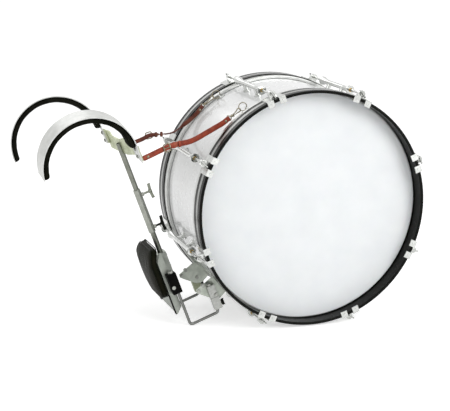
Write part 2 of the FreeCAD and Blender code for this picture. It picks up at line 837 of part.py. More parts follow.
def swept_arch(section, tail, side):
    # A section at the arch's front, swept over the shoulder and down the front tail.
    sweep = near_arch_rear_angle if side < 0 else far_arch_rear_angle
    arch = section.revolve(Vector(), -axis_y, sweep)
    straight = section.extrude(-axis_z * tail)
    return arch.fuse(straight).removeSplitter()


def make_band(side):
    inner = arch_radius - arch_band
    half = arch_width / 2
    corners = [Vector(inner, -half, 0), Vector(arch_radius, -half, 0),
               Vector(arch_radius, half, 0), Vector(inner, half, 0)]
    section = Part.Face(Part.makePolygon(corners + corners[:1]))
    shape = swept_arch(section, arch_tail, side)
    for z in tab_bolt_heights():
        shape = shape.cut(bar(Vector(inner - 1, 0, z), Vector(arch_radius + 1, 0, z), bolt_radius))
    return placed(shape, arch_placement(side))


def make_shoulder_pad(side):
    outer = arch_radius - arch_band
    inner = outer - arch_pad_thickness
    half = arch_pad_width / 2
    edge = inner + arch_pad_crown
    first = Vector(outer, -half + arch_pad_crown, 0)
    side_low = Vector(edge, -half, 0)
    side_high = Vector(edge, half, 0)
    last = Vector(outer, half - arch_pad_crown, 0)
    edges = [
        Part.LineSegment(last, first).toShape(), Part.LineSegment(first, side_low).toShape(),
        Part.Arc(side_low, Vector(inner, 0, 0), side_high).toShape(),
        Part.LineSegment(side_high, last).toShape()]
    shape = swept_arch(Part.Face(Part.Wire(edges)), arch_pad_tail, side)
    return placed(shape, arch_placement(side))


def tab_bolt_heights():
    return [-arch_tail + tab_bolt_inset, -arch_tail + tab_height - tab_bolt_inset]


def make_cross_plate():
    rear = pole_u + cross_plate_setback
    outline = [Vector(rear, y, w) for y, w in cross_plate_outline]
    shape = plate(outline, axis_x, cross_plate_thickness)
    front = arch_radius + cross_plate_thickness
    for side in (-1, 1):
        low, high = sorted((side * tab_outer_reach, -side * tab_inner_reach))
        tab = box(arch_radius, front, low, high, -arch_tail, -arch_tail + tab_height)
        shape = shape.fuse(placed(tab, arch_placement(side)))
    for side in (-1, 1):
        for z in tab_bolt_heights():
            hole = bar(Vector(arch_radius - 1, 0, z), Vector(front + 1, 0, z), bolt_radius)
            shape = shape.cut(placed(hole, arch_placement(side)))
    return shape.removeSplitter()


def make_yoke_bolts():
    solids = []
    for side in (-1, 1):
        for z in tab_bolt_heights():
            head = Vector(arch_radius + cross_plate_thickness, 0, z)
            nut = Vector(arch_radius - arch_band, 0, z)
            for solid in through_bolt(head, nut, bolt_radius):
                solids.append(placed(solid, arch_placement(side)))
    return Part.makeCompound(solids)


def make_upper_tube():
    shape = tube(upper_tube_bottom, cross_plate_bottom + tube_in_plate)
    rear = pole_u + cross_plate_setback
    slot = box(rear, rear + cross_plate_thickness, -tube_radius - 1, tube_radius + 1,
               cross_plate_bottom, cross_plate_bottom + tube_in_plate)
    return shape.cut(slot)


# Straps, their eyes, rings and hooks
def eye_frame(side):
    angle = math.radians(eye_angle)
    out = Vector(math.cos(angle), 0, math.sin(angle))
    along = Vector(-math.sin(angle), 0, math.cos(angle))
    return out, along, axis_y * side * eye_y


def make_strap_eyes():
    half = eye_base_length / 2
    base = box(shell_radius - 1, shell_radius + eye_base_thickness, -eye_base_width / 2,
               eye_base_width / 2, -half, half)
    base = base.cut(drum_disc(shell_radius, -eye_base_width, eye_base_width))
    root = Vector(shell_radius + eye_base_thickness, 0, 0)
    loop = Part.makeTorus(eye_loop_radius, eye_wire_radius, root, axis_z)
    loop = loop.common(box(root.x - 1, root.x + eye_loop_radius * 2, -20, 20, -20, 20))
    offset = half - screw_head_radius
    eyes = []
    shape = base.fuse(loop)
    for z in (-offset, offset):
        shape = shape.cut(bar(Vector(shell_radius - 5, 0, z), Vector(root.x + 5, 0, z), screw_radius))
    for side in (-1, 1):
        eye = around(shape, eye_angle)
        eye.translate(axis_y * side * eye_y)
        eyes.append(eye)
    return Part.makeCompound(eyes)


def make_eye_screws():
    length = shell_radius + eye_base_thickness - lug_screw_seat()
    screws = []
    for angle, y in shell_bolt_places():
        if abs(y) == eye_y:
            screws.append(around(shell_screw(y, length), angle))
    return Part.makeCompound(screws)


def ring_center(side):
    out, along, across = eye_frame(side)
    loop_top = shell_radius + eye_base_thickness + eye_loop_radius
    hold = eye_wire_radius + clearance + ring_wire_radius
    angle = math.radians(ring_lean)
    pull = out * math.cos(angle) + along * math.sin(angle)
    return out * loop_top + across + pull * (ring_radius - hold)


def make_split_rings():
    rings = [Part.makeTorus(ring_radius, ring_wire_radius, ring_center(side), axis_y)
             for side in (-1, 1)]
    return Part.makeCompound(rings)


def strap_points(route):
    return [Vector(x, y, z) for x, y, z in route]


def make_snap_hooks():
    hooks = []
    for side, route in ((-1, near_strap_route), (1, far_strap_route)):
        end = strap_points(route)[-1]
        center = ring_center(side)
        heading = (center - end).normalize()
        tip = center - heading * (ring_radius + ring_wire_radius + clearance)
        hooks.append(bar(end + heading * hook_gap, tip, hook_radius))
    return Part.makeCompound(hooks)


def lean_unit(shape):
    return placed(shape, lean_frame)


def yoke_unit(shape):
    return placed(shape, yoke_frame)


near_head = make_near_head()
near_hoop = make_near_hoop()
near_claws = make_near_claws()
near_plate = make_near_mount_plate()
nodes = {
    "shell": make_shell(),
    "near_head": near_head,
    "far_head": far_side(near_head),
    "flesh_hoops": make_flesh_hoops(),
    "near_hoop": near_hoop,
    "far_hoop": far_side(near_hoop),
    "hoop_inlays": make_hoop_inlays(),
    "near_claws": near_claws,
    "far_claws": far_side(near_claws),
    "lug_casings": make_lug_casings(),
    "swivel_nuts": make_swivel_nuts(),
    "shell_screws": Part.makeCompound([make_lug_screws(), make_eye_screws()]),
    "vent_grommet": make_vent_grommet(),
    "near_mount_plate": near_plate,
    "far_mount_plate": far_side(near_plate),
    "mount_plate_bolts": make_mount_bolts(),
    "near_rod_clamp": lean_unit(make_rod_clamp(near_clamp_top, 2)),
    "far_rod_clamp": lean_unit(far_side(make_rod_clamp(far_clamp_top, 4))),
    "near_clamp_wing": lean_unit(make_clamp_wing()),
    "far_clamp_wing": lean_unit(far_side(make_clamp_wing())),
    "near_j_rod": lean_unit(make_j_rod(near_j_rod_top)),
    "far_j_rod": lean_unit(far_side(make_j_rod(far_j_rod_top))),
    "j_rod_nuts": lean_unit(make_j_rod_nuts()),
    "rod_blocks": lean_unit(make_rod_blocks()),
    "bracket_screws": lean_unit(Part.makeCompound([make_block_screws(), make_socket_screws()])),
    "belly_bracket": lean_unit(make_belly_bracket()),
    "bracket_edge_guards": lean_unit(make_edge_guards()),
    "belly_pad": lean_unit(make_belly_pad()),
    "pole_socket": lean_unit(make_pole_socket()),
    "lower_tube": lean_unit(tube(socket_bottom + socket_floor, lower_tube_top)),
    "sleeve": lean_unit(make_sleeve()),
    "lower_wing_bolt": lean_unit(make_pole_wing(lower_bolt_w)),
    "upper_wing_bolt": lean_unit(make_pole_wing(upper_bolt_w)),
    "upper_tube": yoke_unit(make_upper_tube()),
    "cross_plate": yoke_unit(make_cross_plate()),
    "yoke_bolts": yoke_unit(make_yoke_bolts()),
    "near_shoulder_band": yoke_unit(make_band(-1)),
    "far_shoulder_band": yoke_unit(make_band(1)),
    "near_shoulder_pad": yoke_unit(make_shoulder_pad(-1)),
    "far_shoulder_pad": yoke_unit(make_shoulder_pad(1)),
    "strap_eyes": make_strap_eyes(),
    "strap_fittings": Part.makeCompound([make_split_rings(), make_snap_hooks()]),
    "near_strap": ribbon(strap_points(near_strap_route)),
    "far_strap": ribbon(strap_points(far_strap_route)),
}
for index in range(lug_count):
    near_rod = make_near_tension_rod(index)
    nodes["near_tension_rod_%d" % (index + 1)] = near_rod
    nodes["far_tension_rod_%d" % (index + 1)] = far_side(near_rod)

# The part stands on the floor with its origin under the middle of its box.
bounds = Part.makeCompound(list(nodes.values())).optimalBoundingBox(False, False)
origin = Vector(bounds.Center.x, bounds.Center.y, bounds.ZMin)
os.makedirs("parts", exist_ok=True)
for name, shape in nodes.items():
    shape.translate(-origin)
    shape.exportStep("parts/%s.step" % name)
print("origin", origin.x, origin.y, origin.z, "box", bounds.XLength, bounds.YLength, bounds.ZLength)
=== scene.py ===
import math
import bmesh
import bpy
from mathutils import Matrix, Vector


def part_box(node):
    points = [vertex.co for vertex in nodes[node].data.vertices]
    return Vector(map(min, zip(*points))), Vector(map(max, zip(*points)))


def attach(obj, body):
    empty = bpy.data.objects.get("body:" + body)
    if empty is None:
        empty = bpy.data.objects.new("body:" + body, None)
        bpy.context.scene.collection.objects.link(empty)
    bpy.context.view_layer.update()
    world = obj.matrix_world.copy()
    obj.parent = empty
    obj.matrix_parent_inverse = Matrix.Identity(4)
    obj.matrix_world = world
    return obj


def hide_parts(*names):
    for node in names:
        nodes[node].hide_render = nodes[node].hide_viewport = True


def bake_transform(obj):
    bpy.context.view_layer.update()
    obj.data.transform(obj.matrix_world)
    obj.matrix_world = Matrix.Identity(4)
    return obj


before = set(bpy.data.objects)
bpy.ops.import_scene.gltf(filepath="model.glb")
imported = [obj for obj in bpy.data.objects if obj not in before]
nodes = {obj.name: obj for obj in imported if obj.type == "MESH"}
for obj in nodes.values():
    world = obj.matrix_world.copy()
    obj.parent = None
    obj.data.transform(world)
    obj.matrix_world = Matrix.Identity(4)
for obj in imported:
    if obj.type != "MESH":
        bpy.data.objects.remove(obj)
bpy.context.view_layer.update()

print("drum and carrier: frame loaded")
mm = 0.001

# The part's own frames: the drum's centre, the leaning belly unit and the swivelled yoke
shellLow, shellHigh = (Vector(corner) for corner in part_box("shell"))
drumCentre = (shellLow + shellHigh) / 2
shellRadius = (shellHigh.x - shellLow.x) / 2
carrier = {"lean": 20, "poleOffset": -391, "yokeSwivel": 7}
leanFrame = Matrix.Translation(drumCentre) @ Matrix.Rotation(-math.radians(carrier["lean"]), 4, "Y")
yokeFrame = leanFrame @ Matrix.Translation((carrier["poleOffset"] * mm, 0, 0))
yokeFrame = yokeFrame @ Matrix.Rotation(math.radians(carrier["yokeSwivel"]), 4, "Z")


# Mesh helpers
def newPiece(name, verts, faces):
    mesh = bpy.data.meshes.new(name)
    mesh.from_pydata([tuple(v) for v in verts], [], faces)
    bm = bmesh.new()
    bm.from_mesh(mesh)
    bmesh.ops.recalc_face_normals(bm, faces=bm.faces)
    bm.to_mesh(mesh)
    bm.free()
    for polygon in mesh.polygons:
        polygon.use_smooth = True
    piece = bpy.data.objects.new(name, mesh)
    bpy.context.collection.objects.link(piece)
    return piece


def loft(sections, closed=False):  # rings of points, one skin, flat caps unless closed
    count = len(sections[0])
    verts = [point for section in sections for point in section]
    faces = []
    rows = len(sections) if closed else len(sections) - 1
    for row in range(rows):
        here, there = row * count, (row + 1) % len(sections) * count
        for i in range(count):
            j = (i + 1) % count
            faces.append((here + i, here + j, there + j, there + i))
    if not closed:
        faces.append(tuple(range(count)))
        faces.append(tuple(range(len(verts) - count, len(verts))))
    return verts, faces


def joined(parts):  # several (verts, faces) as one
    verts, faces = [], []
    for partVerts, partFaces in parts:
        start = len(verts)
        verts += partVerts
        faces += [tuple(start + i for i in face) for face in partFaces]
    return verts, faces


def tube(path, radius, sides=12, closed=False):  # a round wire along a path of points
    sections = []
    side = None
    last = len(path) - 1
    for i, point in enumerate(path):
        before = path[i - 1] if i or closed else path[0]
        after = path[(i + 1) % len(path)] if i < last or closed else path[last]
        run = (after - before).normalized()
        if side is None:
            side = run.orthogonal().normalized()
        side = (side - run * side.dot(run)).normalized()
        up = run.cross(side)
        sections.append([point + (side * math.cos(t) + up * math.sin(t)) * radius
                         for t in (math.tau * k / sides for k in range(sides))])
    return loft(sections, closed)


def rounded(points, passes=2):  # cuts the corners of an open run of points
    for _ in range(passes):
        cut = [points[0]]
        for a, b in zip(points, points[1:]):
            cut += [a.lerp(b, 0.25), a.lerp(b, 0.75)]
        points = cut + [points[-1]]
    return points


def subdivided(piece, levels=1):
    modifier = piece.modifiers.new("smooth", "SUBSURF")
    modifier.levels = levels
    modifier.render_levels = levels
    return piece


# Material helpers: every finish is nodes over object coordinates in metres
class Finish:
    def __init__(self, name, metallic=0.0, coat=0.0, coatRoughness=0.1, specular=0.5, ior=1.45):
        self.material = bpy.data.materials.new(name)
        self.material.use_nodes = True
        self.tree = self.material.node_tree
        self.shader = self.tree.nodes["Principled BSDF"]
        self.shader.inputs["Metallic"].default_value = metallic
        self.shader.inputs["Coat Weight"].default_value = coat
        self.shader.inputs["Coat Roughness"].default_value = coatRoughness
        self.shader.inputs["Specular IOR Level"].default_value = specular
        self.shader.inputs["IOR"].default_value = ior
        self.coords = self.add("ShaderNodeTexCoord").outputs["Object"]
        self.normal = None

    def add(self, kind, **values):
        node = self.tree.nodes.new(kind)
        for key, value in values.items():
            node.inputs[key].default_value = value
        return node

    def link(self, source, target):
        self.tree.links.new(source, target)

    def stretched(self, scale):
        mapping = self.add("ShaderNodeMapping", Scale=scale)
        self.link(self.coords, mapping.inputs["Vector"])
        return mapping.outputs["Vector"]

    def noise(self, scale, detail=4.0, rough=0.55, stretch=None):
        node = self.add("ShaderNodeTexNoise", Scale=scale, Detail=detail, Roughness=rough)
        self.link(self.stretched(stretch) if stretch else self.coords, node.inputs["Vector"])
        return node.outputs["Fac"]

    def cells(self, scale, stretch=None):
        node = self.add("ShaderNodeTexVoronoi", Scale=scale)
        self.link(self.stretched(stretch) if stretch else self.coords, node.inputs["Vector"])
        return node.outputs["Distance"]

    def ramp(self, value, stops):
        node = self.add("ShaderNodeValToRGB")
        elements = node.color_ramp.elements
        while len(elements) < len(stops):
            elements.new(0.5)
        for element, (place, colour) in zip(elements, stops):
            element.position = place
            element.color = (*colour, 1)
        self.link(value, node.inputs["Fac"])
        return node.outputs["Color"]

    def grey(self, value, low, high, start=0.3, end=0.7):
        return self.ramp(value, [(start, (low,) * 3), (end, (high,) * 3)])

    def mixed(self, share, body, worn):
        node = self.add("ShaderNodeMix")
        node.data_type = "RGBA"
        self.link(share, node.inputs["Factor"])
        self.link(body, node.inputs[6])  # colour A
        node.inputs[7].default_value = (*worn, 1)  # colour B
        return node.outputs[2]

    def colour(self, source):
        self.link(source, self.shader.inputs["Base Color"])

    def roughness(self, source):
        self.link(source, self.shader.inputs["Roughness"])

    def bump(self, height, distance, strength=1.0):
        node = self.add("ShaderNodeBump", Distance=distance, Strength=strength)
        self.link(height, node.inputs["Height"])
        if self.normal:
            self.link(self.normal, node.inputs["Normal"])
        self.normal = node.outputs["Normal"]
        self.link(self.normal, self.shader.inputs["Normal"])

    def softEdges(self, radius):
        node = self.add("ShaderNodeBevel", Radius=radius)
        self.normal = node.outputs["Normal"]
        self.link(self.normal, self.shader.inputs["Normal"])


def metal(name, dark, light, rough, scale=60, grain=None, coat=0.0, edge=0.0006, pits=0.00002):
    finish = Finish(name, metallic=1.0, coat=coat)
    finish.softEdges(edge)
    cloud = finish.noise(scale, detail=6)
    finish.colour(finish.ramp(cloud, [(0.3, dark), (0.72, light)]))
    finish.roughness(finish.grey(finish.noise(scale * 2.7), rough[0], rough[1]))
    if grain:
        finish.bump(finish.noise(1, detail=3, stretch=grain), pits, 0.6)
    else:
        finish.bump(finish.noise(scale * 22), pits, 0.5)
    return finish.material


def wrapFinish():  # white gloss wrap glued to the plies
    finish = Finish("white wrap", coat=0.6, coatRoughness=0.06)
    cloud = finish.noise(9, detail=3)
    finish.colour(finish.ramp(cloud, [(0.3, (0.80, 0.81, 0.81)), (0.7, (0.87, 0.875, 0.875))]))
    finish.roughness(finish.grey(finish.noise(40), 0.2, 0.3))
    finish.bump(finish.noise(38, detail=2), 0.00035, 0.12)
    finish.bump(finish.noise(900, detail=2), 0.00002, 0.25)
    return finish.material


def filmFinish():  # sprayed white coating on clear film
    finish = Finish("coated film", specular=0.35)
    cloud = finish.noise(14, detail=5)
    finish.colour(finish.ramp(cloud, [(0.3, (0.83, 0.84, 0.85)), (0.7, (0.88, 0.885, 0.89))]))
    finish.roughness(finish.grey(finish.noise(120), 0.5, 0.62))
    finish.bump(finish.noise(1500, detail=2, rough=0.7), 0.00008, 0.45)
    finish.shader.inputs["Subsurface Weight"].default_value = 0.05
    finish.shader.inputs["Subsurface Scale"].default_value = 0.004
    return finish.material


def lacquerFinish():  # black lacquer over bent maple
    finish = Finish("black lacquer", specular=0.35, ior=1.2)
    finish.softEdges(0.0008)
    depth = finish.noise(70, detail=5)
    finish.colour(finish.ramp(depth, [(0.3, (0.0025, 0.003, 0.0025)), (0.75, (0.008, 0.0085, 0.0065))]))
    finish.roughness(finish.grey(finish.noise(90), 0.16, 0.3))
    finish.bump(finish.noise(1, detail=3, stretch=(140, 900, 140)), 0.00006, 0.2)
    return finish.material


def foilFinish():  # brushed silver strip let into the hoops
    finish = Finish("silver strip", metallic=0.75, coat=0.1)
    tarnish = finish.noise(220, detail=5)
    finish.colour(finish.ramp(tarnish, [(0.3, (0.24, 0.245, 0.235)), (0.7, (0.40, 0.405, 0.395))]))
    finish.roughness(finish.grey(finish.noise(350), 0.26, 0.42))
    finish.bump(finish.noise(1, detail=2, stretch=(60, 2600, 60)), 0.00004, 0.4)
    return finish.material


def satinPaint(name, low, high, rough=(0.35, 0.5), texture=0.00006, scale=700, edge=0.0006,
               metallic=0.0, ior=1.45):
    finish = Finish(name, metallic=metallic, specular=0.4, ior=ior)
    finish.softEdges(edge)
    finish.colour(finish.ramp(finish.noise(45, detail=6), [(0.32, low), (0.7, high)]))
    finish.roughness(finish.grey(finish.noise(130), rough[0], rough[1]))
    finish.bump(finish.noise(scale, detail=3), texture, 0.4)
    return finish.material


def rubberFinish(name, low, high):
    finish = Finish(name, specular=0.3, ior=1.12)
    finish.colour(finish.ramp(finish.noise(60, detail=5), [(0.3, low), (0.7, high)]))
    finish.roughness(finish.grey(finish.noise(200), 0.62, 0.8))
    finish.bump(finish.noise(1300, detail=3), 0.0001, 0.5)
    return finish.material


def foamFinish():  # closed-cell foam, moulded skin with fine cells
    finish = Finish("black foam", specular=0.3, ior=1.12)
    dust = finish.noise(35, detail=6)
    finish.colour(finish.ramp(dust, [(0.3, (0.004, 0.0045, 0.003)), (0.75, (0.013, 0.013, 0.009))]))
    finish.roughness(finish.grey(finish.noise(160), 0.72, 0.92))
    finish.bump(finish.noise(55, detail=4), 0.0012, 0.25)
    finish.bump(finish.cells(950), 0.00035, 0.5)
    return finish.material


def vinylFinish():  # grained black vinyl with a faint olive cast
    finish = Finish("black vinyl", specular=0.4, ior=1.13)
    cast = finish.noise(24, detail=6)  # green to brown across the pad
    finish.colour(finish.ramp(cast, [
        (0.28, (0.003, 0.0065, 0.0025)), (0.5, (0.0085, 0.0085, 0.004)), (0.74, (0.013, 0.011, 0.006))]))
    grain = finish.cells(620, stretch=(1, 1.15, 0.9))
    finish.roughness(finish.grey(grain, 0.62, 0.42, 0.1, 0.6))
    finish.bump(finish.noise(18, detail=4), 0.003, 0.22)
    finish.bump(grain, 0.00042, 0.55)
    finish.bump(finish.noise(2400, detail=2), 0.00006, 0.4)
    return finish.material


def leatherFinish(name, dark, mid, worn):  # dyed strap leather, rubbed lighter on the high spots
    finish = Finish(name, specular=0.38)
    body = finish.ramp(finish.noise(55, detail=7, rough=0.65), [(0.3, dark), (0.68, mid)])
    rub = finish.grey(finish.noise(24, detail=8, rough=0.7), 0.0, 1.0, 0.52, 0.74)
    finish.colour(finish.mixed(rub, body, worn))
    finish.roughness(finish.grey(finish.noise(180), 0.42, 0.62))
    finish.bump(finish.noise(90, detail=5), 0.0012, 0.35)
    finish.bump(finish.cells(1500), 0.00028, 0.6)
    return finish.material


def threadFinish(name, low, high):
    finish = Finish(name, specular=0.3)
    finish.colour(finish.ramp(finish.noise(900, detail=3), [(0.3, low), (0.7, high)]))
    finish.roughness(finish.grey(finish.noise(500), 0.6, 0.8))
    finish.bump(finish.noise(4200, detail=2), 0.00015, 0.7)
    return finish.material


materials = {
    "wrap": wrapFinish(),
    "film": filmFinish(),
    "lacquer": lacquerFinish(),
    "foil": foilFinish(),
    "fleshHoop": metal("flesh hoop alloy", (0.492, 0.5, 0.484), (0.623, 0.631, 0.615), (0.3, 0.45), 40),
    "chrome": metal(
        "plated castings", (0.475, 0.487, 0.467), (0.634, 0.642, 0.625), (0.09, 0.2), 90, coat=0.2),
    "keyRod": metal("plated rods", (0.375, 0.385, 0.369), (0.518, 0.525, 0.505), (0.14, 0.26), 150),
    "brassNut": metal("brass nuts", (0.44, 0.304, 0.112), (0.576, 0.424, 0.2), (0.25, 0.4), 120),
    "zinc": metal("zinc plated steel", (0.304, 0.314, 0.284), (0.436, 0.446, 0.416), (0.28, 0.46), 110),
    "plate": metal(
        "zinc sheet", (0.386, 0.419, 0.368), (0.58, 0.612, 0.552), (0.36, 0.52), 55, (400, 60, 400)),
    "clampOlive": metal(
        "olive cast clamp", (0.24, 0.264, 0.176), (0.376, 0.4, 0.288), (0.38, 0.55), 160, pits=0.00012),
    "clampGrey": metal(
        "grey cast clamp", (0.364, 0.374, 0.35), (0.504, 0.511, 0.49), (0.34, 0.5), 160, pits=0.00012),
    "rod": metal(
        "zinc rod", (0.155, 0.16, 0.149), (0.217, 0.22, 0.211), (0.24, 0.38), 130, (90, 90, 1400)),
    "bracket": metal(
        "satin alloy bracket", (0.243, 0.262, 0.232), (0.356, 0.373, 0.341), (0.38, 0.54), 48,
        (500, 40, 500)),
    "tube": metal(
        "satin pole tube", (0.18, 0.19, 0.159), (0.245, 0.253, 0.222), (0.34, 0.5), 70, (700, 700, 60)),
    "sleeve": metal(
        "turned sleeve", (0.256, 0.267, 0.234), (0.359, 0.37, 0.337), (0.26, 0.42), 80, (200, 200, 1500)),
    "khaki": satinPaint(
        "khaki plate", (0.378, 0.413, 0.259), (0.616, 0.651, 0.469), (0.36, 0.52), metallic=0.5),
    "blackMetal": satinPaint(
        "black wing screws", (0.006, 0.007, 0.005), (0.022, 0.024, 0.018), (0.3, 0.45), ior=1.2),
    "wingMetal": satinPaint(
        "grey wing screws", (0.14, 0.15, 0.12), (0.34, 0.36, 0.30), (0.34, 0.5), metallic=0.7),
    "bandSilver": satinPaint(
        "silver band paint", (0.60, 0.61, 0.585), (0.73, 0.735, 0.715), (0.3, 0.42), metallic=0.25),
    "nylon": satinPaint(
        "black nylon", (0.0015, 0.0015, 0.0015), (0.005, 0.005, 0.0045), (0.4, 0.55), 0.00012, 1600,
        ior=1.12),
    "guard": rubberFinish("edge guard rubber", (0.003, 0.003, 0.0025), (0.009, 0.009, 0.008)),
    "foam": foamFinish(),
    "vinyl": vinylFinish(),
    "piping": satinPaint(
        "pad piping", (0.003, 0.004, 0.0025), (0.010, 0.011, 0.007), (0.3, 0.42), 0.0001, 1500, ior=1.15),
    "redLeather": leatherFinish(
        "red strap leather", (0.16, 0.022, 0.008), (0.36, 0.05, 0.02), (0.46, 0.13, 0.07)),
    # the far strap's copy of the red leather, its colours darkened as painted shade
    "shadedRedLeather": leatherFinish(
        "red strap leather with painted shade", (0.05, 0.009, 0.005), (0.155, 0.032, 0.014), (0.25, 0.10, 0.06)),
    "strapBrass": metal("dull brass", (0.187, 0.16, 0.105), (0.319, 0.286, 0.209), (0.24, 0.42), 200),
    "thread": threadFinish("waxed thread", (0.05, 0.012, 0.006), (0.16, 0.05, 0.03)),
}

cadFinishes = {
    "wrap": ["shell"], "film": ["near_head", "far_head"], "lacquer": ["near_hoop", "far_hoop"],
    "foil": ["hoop_inlays"], "fleshHoop": ["flesh_hoops"],
    "chrome": ["near_claws", "far_claws", "lug_casings", "vent_grommet", "strap_eyes"],
    "keyRod": ["%s_tension_rod_%d" % (side, i) for side in ("near", "far") for i in range(1, 9)],
    "brassNut": ["swivel_nuts"],
    "zinc": ["shell_screws", "mount_plate_bolts", "j_rod_nuts", "bracket_screws", "yoke_bolts"],
    "plate": ["near_mount_plate", "far_mount_plate"], "clampOlive": ["far_rod_clamp"],
    "clampGrey": ["near_rod_clamp"], "rod": ["near_j_rod", "far_j_rod"],
    "bracket": ["belly_bracket", "pole_socket"], "tube": ["lower_tube", "upper_tube"], "sleeve": ["sleeve"],
    "khaki": ["cross_plate"], "blackMetal": ["near_clamp_wing", "far_clamp_wing", "lower_wing_bolt"],
    "wingMetal": ["upper_wing_bolt"],
    "bandSilver": ["near_shoulder_band", "far_shoulder_band"], "nylon": ["rod_blocks"],
    "guard": ["bracket_edge_guards"],
}
for finishName, nodeNames in cadFinishes.items():
    for nodeName in nodeNames:
        mesh = nodes[nodeName].data
        mesh.materials.clear()
        mesh.materials.append(materials[finishName])
print("finishes on the metal, wood and film")


def dress(piece, finishName, body):
    piece.data.materials.clear()
    piece.data.materials.append(materials[finishName])
    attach(piece, body)
    return piece


# Shoulder pads: a strip of foam moulded under each painted band
arches = {
    "near": {"centre": (-126.5, -123.5, 346.5), "turn": 8, "cant": 9, "rearAngle": 176, "thickness": 17.0},
    "far": {"centre": (-113.2, 157.5, 354.0), "turn": 12.4, "cant": -12, "rearAngle": 183, "thickness": 14.0},
}
shoulderPad = {"bandInner": 123.0, "halfWidth": 31.0, "crown": 2.4, "tail": 4.0, "endRound": 7.0,
               "endDraw": 5.0, "endDepth": 0.35, "swells": ((0.012, 0.11, 0.0), (0.008, 0.27, 1.3)),
               "widthSwell": 0.4, "stations": 76}
padEdge = {1.0: 0.84, 0.93: 0.97}  # how deep the foam is at its outer edges, as a share


def archFrame(side):
    arch = arches[side]
    turned = Matrix.Rotation(-math.radians(arch["turn"]), 4, "Z")
    canted = Matrix.Rotation(math.radians(arch["cant"]), 4, "X")
    return yokeFrame @ Matrix.Translation(Vector(arch["centre"]) * mm) @ turned @ canted


def padSection(width, depth):  # (inward, across) round a D-shaped strip
    flat = depth - shoulderPad["crown"]
    inner = []
    for a in (-1.0, -0.93, -0.72, -0.36, 0.0, 0.36, 0.72, 0.93, 1.0):
        crown = 0.0 if abs(a) in padEdge else shoulderPad["crown"] * (1 - a * a)
        inner.append((flat * padEdge.get(abs(a), 1.0) + crown, a * width))
    back = [(0.0, width * a) for a in (0.9, 0.45, 0.0, -0.45, -0.9)]
    return inner + back


def makeShoulderPad(side):
    place = archFrame(side)
    radius = shoulderPad["bandInner"]
    tail = math.degrees(shoulderPad["tail"] / radius)
    sweep = arches[side]["rearAngle"] + tail
    length = math.radians(sweep) * radius
    sections = []
    for i in range(shoulderPad["stations"] + 1):
        run = length * (1 - math.cos(math.pi * i / shoulderPad["stations"])) / 2
        fromEnd = min(run, length - run) / shoulderPad["endRound"]
        ease = math.sqrt(max(0.0, 1 - (1 - min(fromEnd, 1)) ** 2))
        angle = run / radius - math.radians(tail)
        swell = 1 + sum(size * math.sin(run * pitch + start) for size, pitch, start in shoulderPad["swells"])
        width = shoulderPad["halfWidth"] - shoulderPad["endDraw"] * (1 - ease)
        width *= 1 + shoulderPad["widthSwell"] * (swell - 1)
        endDepth = shoulderPad["endDepth"]
        depth = arches[side]["thickness"] * (endDepth + (1 - endDepth) * ease) * swell
        ring = []
        for inward, across in padSection(width, depth):
            r = (radius - inward) * mm
            ring.append(place @ Vector((r * math.cos(angle), across * mm, r * math.sin(angle))))
        sections.append(ring)
    verts, faces = loft(sections)
    piece = subdivided(newPiece(side + "_pad_foam", verts, faces))
    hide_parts(side + "_shoulder_pad")
    dress(piece, "foam", "yoke")


for side in arches:
    makeShoulderPad(side)
print("shoulder pads moulded")


# Belly pad: vinyl over foam, bent forward above the bracket
bellyPad = {"back": -422.0, "thickness": 22.0, "halfWidth": 77.0, "top": 34.0, "bottom": -108.0,
            "corner": 20.0, "cornerRound": 10.2, "knee": (24.5, 12.0), "crest": (34.0, 17.0),
            "kneeCurve": 1.3, "edgeRound": 8.0, "crown": 3.5, "backGap": 0.3, "sideStart": 0.35}
padPiping = {"radius": 1.5, "inset": 1.2, "depths": {"belly_pad_piping": 17.8, "belly_pad_rear_piping": 3.0}}
stuffing = {"voxel": 5.0, "pressure": 3.0, "frames": 12, "quality": 5, "heldDepth": 6.0, "mostSwell": 4.0}


def padShift(w):  # how far the pad leans towards the drum above the bracket
    kneeW, kneeShift = bellyPad["knee"]
    crestW, crestShift = bellyPad["crest"]
    if w <= 0:
        return 0.0
    if w <= kneeW:
        return kneeShift * (w / kneeW) ** bellyPad["kneeCurve"]
    return kneeShift + (crestShift - kneeShift) * (w - kneeW) / (crestW - kneeW)


def padOutline(inset=0.0, perCorner=5, perSide=6):  # rounded octagon in (across, up)
    half = bellyPad["halfWidth"] - inset
    top, bottom = bellyPad["top"] - inset, bellyPad["bottom"] + inset
    corner = bellyPad["corner"] - inset * 0.59  # keeps the cut corners parallel
    corners = [(-half + corner, top), (half - corner, top), (half, top - corner), (half, bottom + corner),
               (half - corner, bottom), (-half + corner, bottom), (-half, bottom + corner),
               (-half, top - corner)]
    corners = [Vector(c) for c in corners]
    points = []
    for i, here in enumerate(corners):
        before, after = corners[i - 1], corners[(i + 1) % 8]
        reach = min(bellyPad["cornerRound"], (after - here).length * 0.4)
        start = here + (before - here).normalized() * reach
        end = here + (after - here).normalized() * reach
        for k in range(perCorner):
            t = k / (perCorner - 1)
            points.append(start * (1 - t) ** 2 + here * 2 * t * (1 - t) + end * t * t)
        nextStart = after + (here - after).normalized() * reach
        for k in range(1, perSide):
            points.append(end.lerp(nextStart, k / perSide))
    return points


def padPoint(depth, across, w):  # depth is measured from the back, towards the wearer
    return leanFrame @ Vector(((bellyPad["back"] + padShift(w) - depth) * mm, across * mm, w * mm))


def padRing(depth, inset, share=1.0):  # one ring round the pad, drawn towards its middle by share
    middleW = (bellyPad["top"] + bellyPad["bottom"]) / 2
    return [padPoint(depth, p.x * share, middleW + (p.y - middleW) * share) for p in padOutline(inset)]


